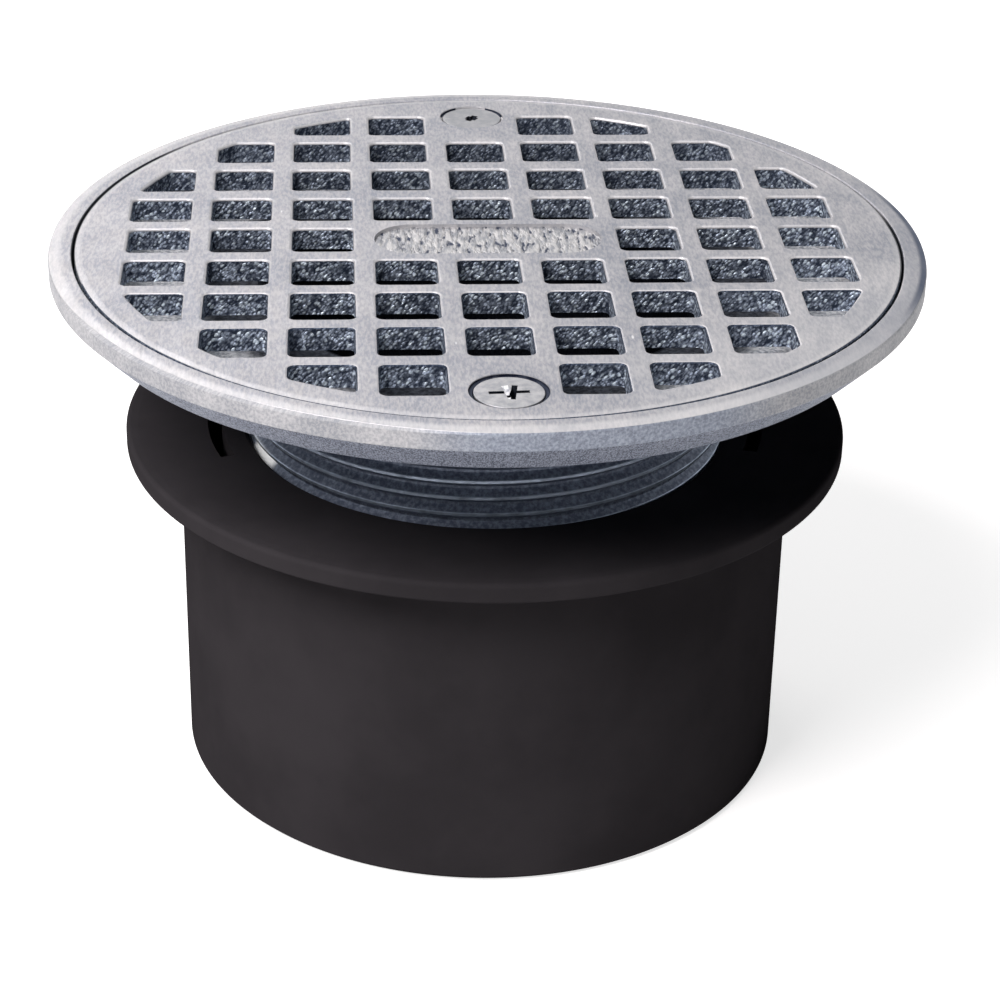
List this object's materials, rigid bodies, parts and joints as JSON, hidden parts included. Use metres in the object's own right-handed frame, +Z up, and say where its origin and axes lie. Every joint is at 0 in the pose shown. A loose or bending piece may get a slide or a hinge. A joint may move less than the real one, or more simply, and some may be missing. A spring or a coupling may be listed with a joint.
{
  "type": "floor drain grate",
  "caption": "Adjustable round floor drain: drop-in lattice grate in a cast strainer frame, whose threaded shank screws into a black plastic spigot body.",
  "frame": {"origin": "centre of the spigot's lower end, on the drain's axis", "axes": "+Z up along the drain's axis, -Y towards the front screw, +X along the grate's name pad"},
  "size_m": [0.1588, 0.1588, 0.1016],
  "materials": {
    "black_abs": "satin",
    "cast_nickel_bronze": "satin",
    "screw_steel": "satin"
  },
  "bodies": {
    "drain_body": {"drain_body": "black_abs"},
    "strainer_frame": {"strainer_frame": "cast_nickel_bronze"},
    "grate": {"grate": "cast_nickel_bronze"},
    "front_screw": {"front_screw": "screw_steel"},
    "rear_screw": {"rear_screw": "screw_steel"}
  },
  "joints": [
    {"name": "frame_height", "type": "slide", "parent": "drain_body", "child": "strainer_frame", "axis": [0, 0, 1], "range_m": [-0.02223, 0.00635]},
    {"name": "grate_lift", "type": "slide", "parent": "strainer_frame", "child": "grate", "axis": [0, 0, 1], "range_m": [0, 0.03]},
    {"name": "front_screw_out", "type": "slide", "parent": "grate", "child": "front_screw", "axis": [0, 0, 1], "range_m": [0, 0.0127]},
    {"name": "rear_screw_out", "type": "slide", "parent": "grate", "child": "rear_screw", "axis": [0, 0, 1], "range_m": [0, 0.0127]}
  ]
}
